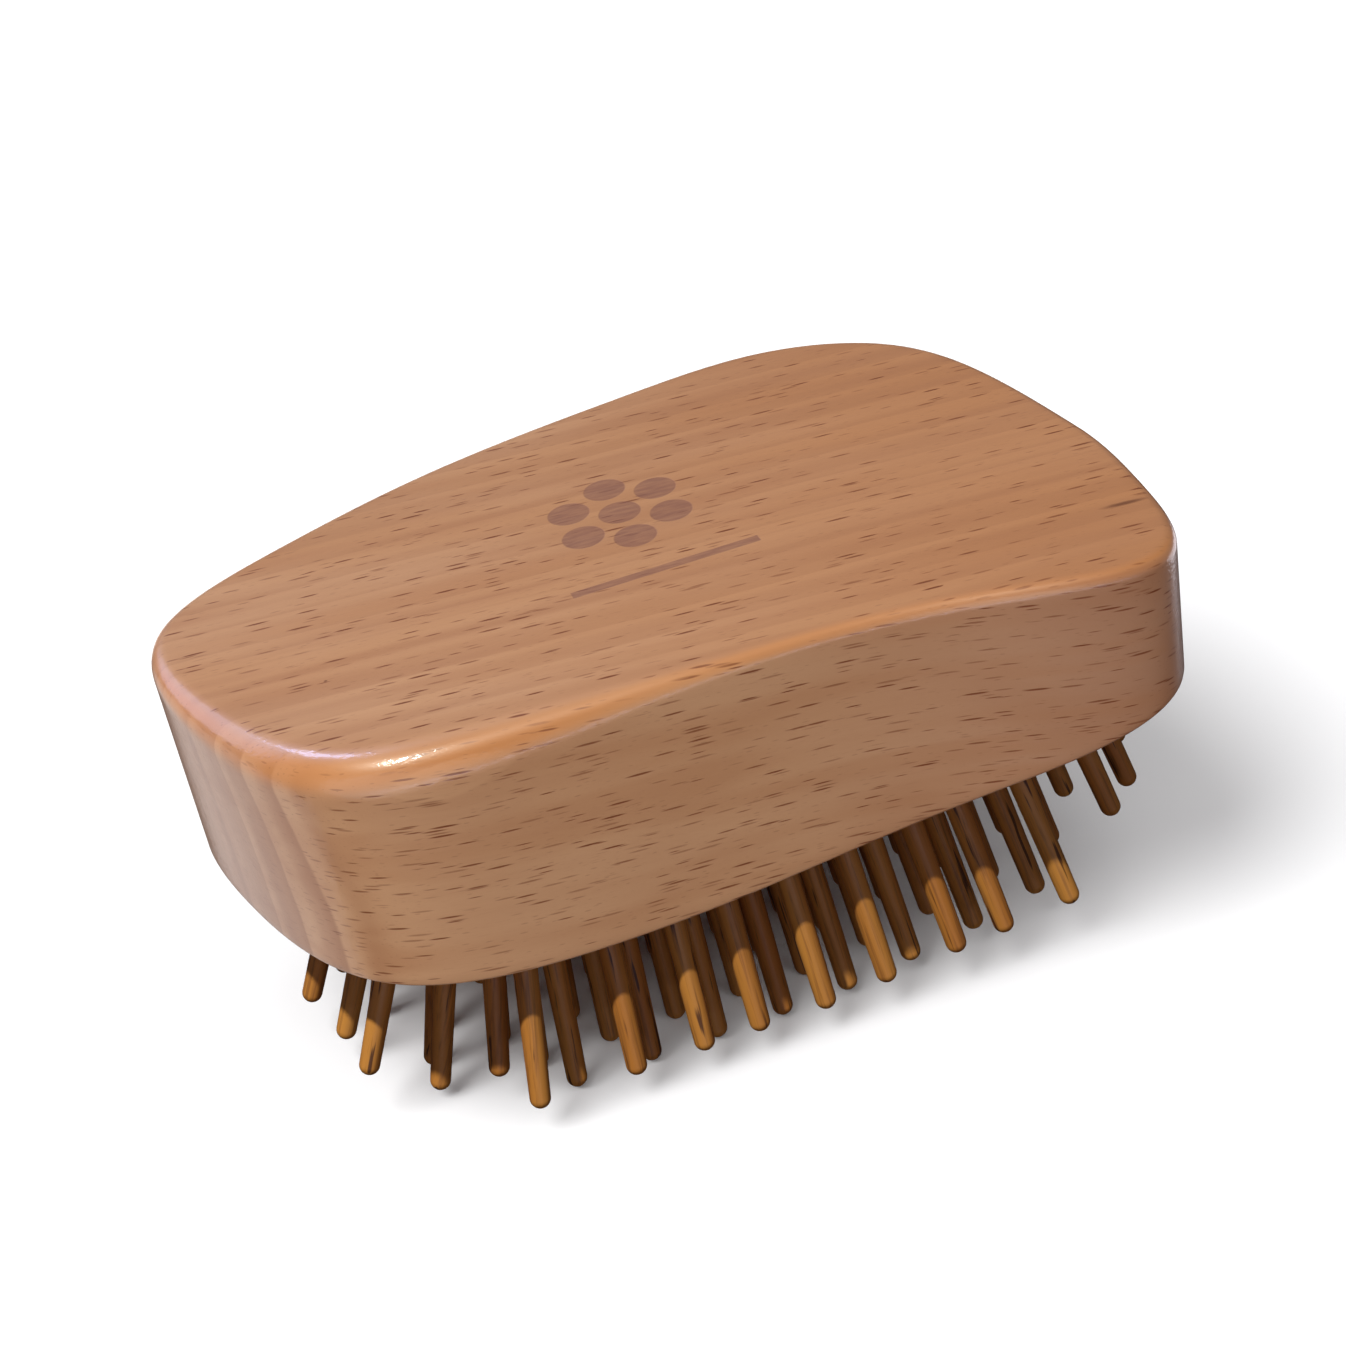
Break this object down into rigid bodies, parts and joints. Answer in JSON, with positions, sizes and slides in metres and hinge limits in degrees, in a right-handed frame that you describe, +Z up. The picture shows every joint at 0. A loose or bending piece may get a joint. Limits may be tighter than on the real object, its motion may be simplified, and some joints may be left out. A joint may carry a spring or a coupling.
{
  "type": "palm brush",
  "caption": "Handle-less palm brush: a thick rounded wooden block with staggered rows of round-tipped wooden pins fanning out of its curved underside.",
  "frame": {"origin": "centre of the bounding box in plan, at the level of the middle pins' tips that the brush stands on", "axes": "+Z up through the flat top, X along the block with the wide end at +X, +Y away from the hollow long side"},
  "size_m": [0.11, 0.0737, 0.055],
  "materials": {
    "block": "satin varnish",
    "pins": "satin varnish"
  },
  "bodies": {
    "root": {"block": "block", "pin_row_a_01": "pins", "pin_row_a_02": "pins", "pin_row_a_03": "pins", "pin_row_a_04": "pins", "pin_row_a_05": "pins", "pin_row_a_06": "pins", "pin_row_a_07": "pins", "pin_row_a_08": "pins", "pin_row_a_09": "pins", "pin_row_b_01": "pins", "pin_row_b_02": "pins", "pin_row_b_03": "pins", "pin_row_b_04": "pins", "pin_row_b_05": "pins", "pin_row_b_06": "pins", "pin_row_b_07": "pins", "pin_row_b_08": "pins", "pin_row_b_09": "pins", "pin_row_b_10": "pins", "pin_row_c_01": "pins", "pin_row_c_02": "pins", "pin_row_c_03": "pins", "pin_row_c_04": "pins", "pin_row_c_05": "pins", "pin_row_c_06": "pins", "pin_row_c_07": "pins", "pin_row_c_08": "pins", "pin_row_c_09": "pins", "pin_row_c_10": "pins", "pin_row_c_11": "pins", "pin_row_c_12": "pins", "pin_row_d": "pins", "pin_row_e": "pins", "pin_row_f": "pins", "pin_row_g": "pins", "pin_row_h": "pins", "pin_row_i": "pins", "pin_row_j_01": "pins", "pin_row_j_02": "pins", "pin_row_j_03": "pins", "pin_row_j_04": "pins", "pin_row_j_05": "pins", "pin_row_j_06": "pins", "pin_row_j_07": "pins", "pin_row_j_08": "pins", "pin_row_j_09": "pins", "pin_row_k_01": "pins", "pin_row_k_02": "pins", "pin_row_k_03": "pins", "pin_row_k_04": "pins", "pin_row_k_05": "pins", "pin_row_k_06": "pins"}
  },
  "joints": []
}
